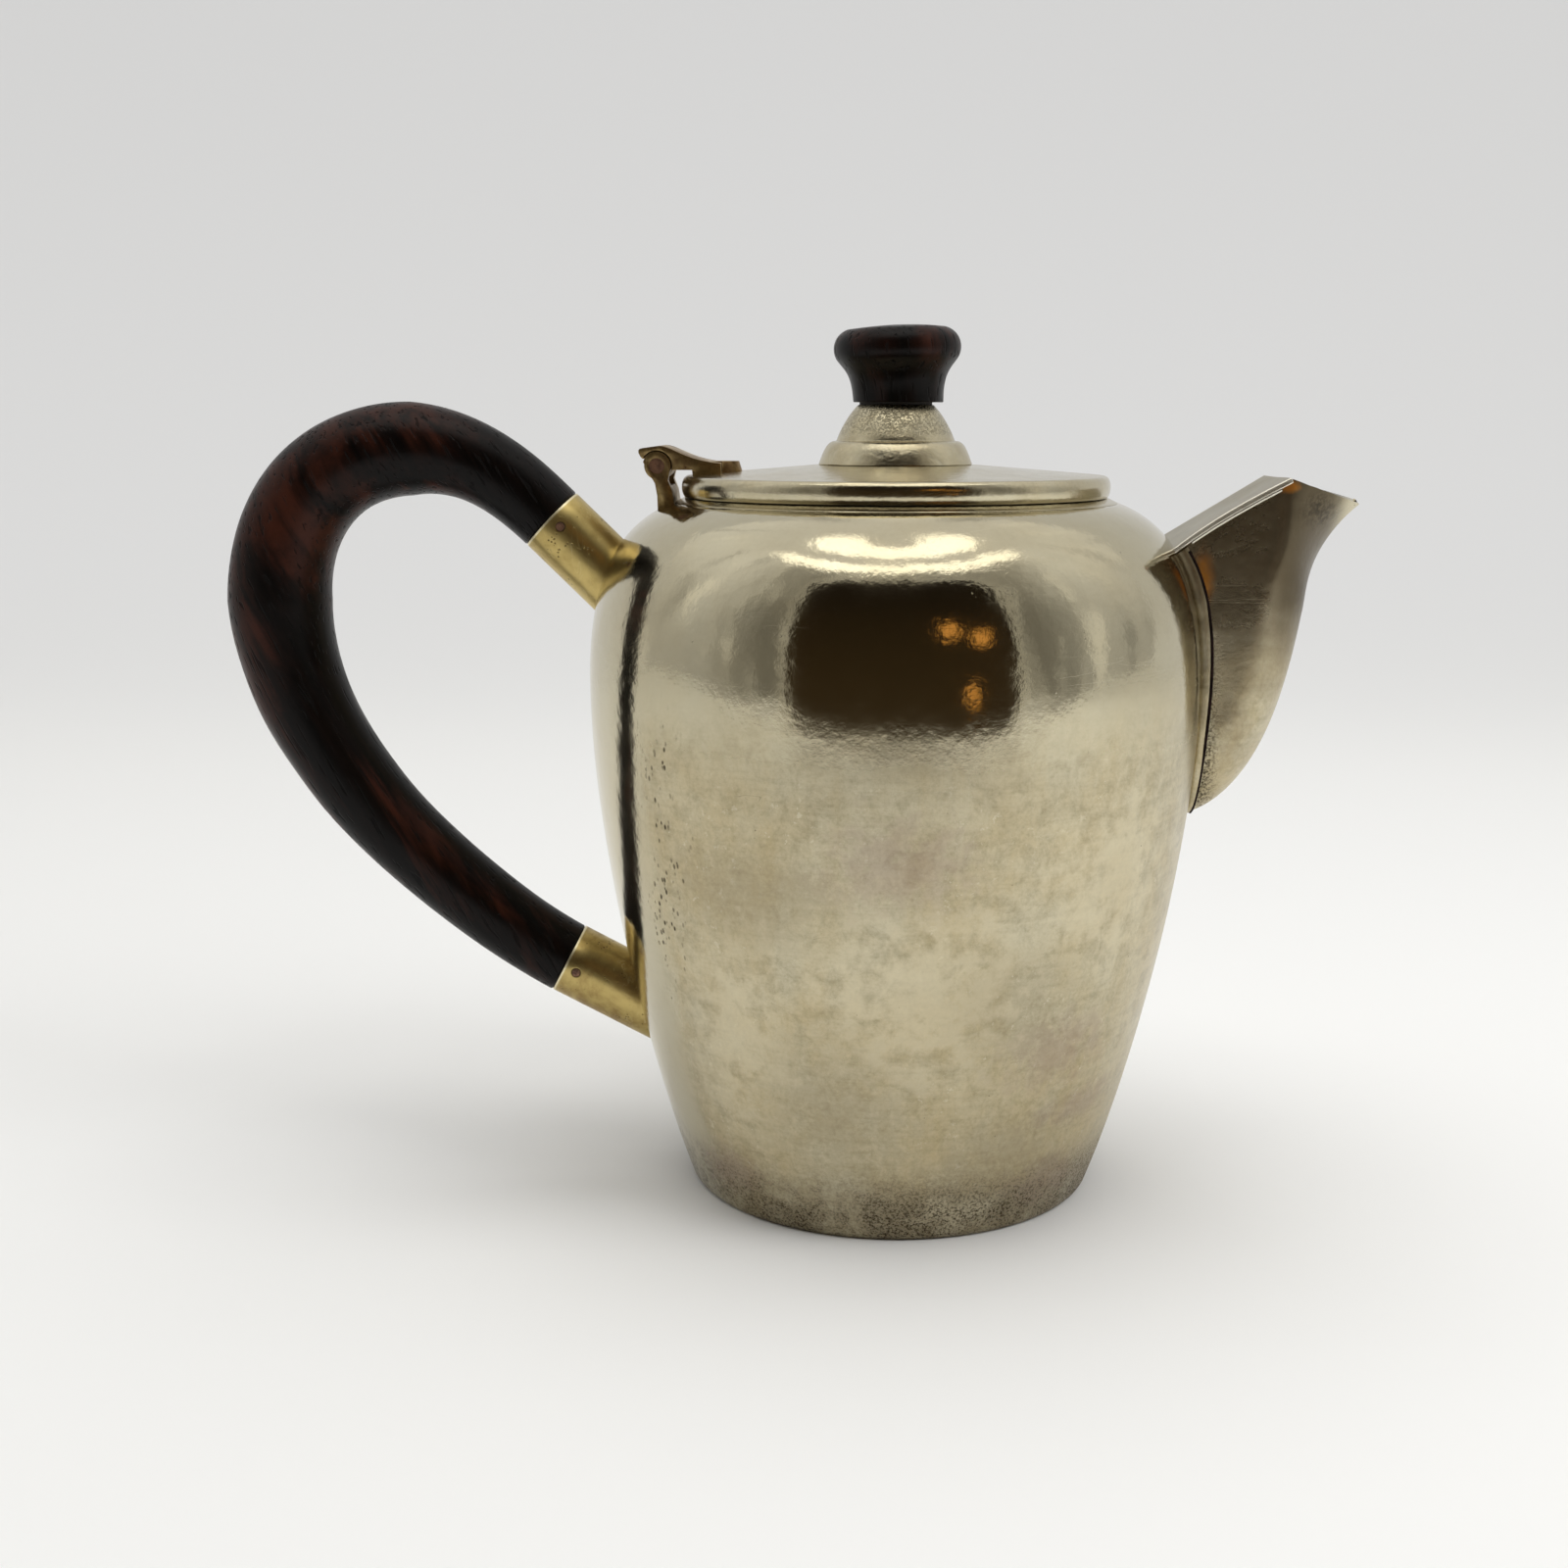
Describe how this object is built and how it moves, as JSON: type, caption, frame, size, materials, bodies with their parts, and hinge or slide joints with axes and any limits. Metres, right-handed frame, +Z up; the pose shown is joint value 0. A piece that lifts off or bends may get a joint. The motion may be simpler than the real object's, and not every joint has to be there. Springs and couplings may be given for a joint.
{
  "type": "coffee pot",
  "caption": "Small metal coffee pot with a hinged lid, turned wooden knob, folded beak spout and a wooden loop handle pinned into two brass sockets.",
  "frame": {"origin": "centre of the flat underside, on the body's axis, at the height of the surface that the pot stands on", "axes": "+Z up along the body's axis, +X towards the spout, -X towards the handle and the lid's hinge"},
  "size_m": [0.1929, 0.104, 0.1473],
  "materials": {
    "nickel_silver": "worn nickel silver, half polished",
    "socket_brass": "satin yellow brass with stains",
    "hinge_bronze": "tarnished brown brass",
    "dark_wood": "oiled dark rosewood, semi-gloss",
    "dark_steel": "darkened steel",
    "black_fibre": "pressed black fibre"
  },
  "bodies": {
    "pot": {"body_shell": "nickel_silver", "base_plate": "nickel_silver", "mouth_ring": "nickel_silver", "spout_shell": "nickel_silver", "spout_cover": "nickel_silver", "upper_socket": "socket_brass", "lower_socket": "socket_brass", "handle": "dark_wood", "upper_socket_pin": "dark_steel", "lower_socket_pin": "dark_steel", "hinge_bracket": "hinge_bronze", "hinge_pin": "dark_steel"},
    "lid": {"hinge_leaf": "hinge_bronze", "lid_shell": "nickel_silver", "lid_bezel": "nickel_silver", "finial_base": "nickel_silver", "knob_washer": "black_fibre", "knob": "dark_wood", "knob_stud": "dark_steel", "nut_washer": "dark_steel", "knob_nut": "dark_steel"}
  },
  "joints": [
    {"name": "lid_hinge", "type": "hinge", "parent": "pot", "child": "lid", "pos_m": [-0.0398, 0, 0.12415], "axis": [0, -1, 0], "range_deg": [0, 105]}
  ]
}
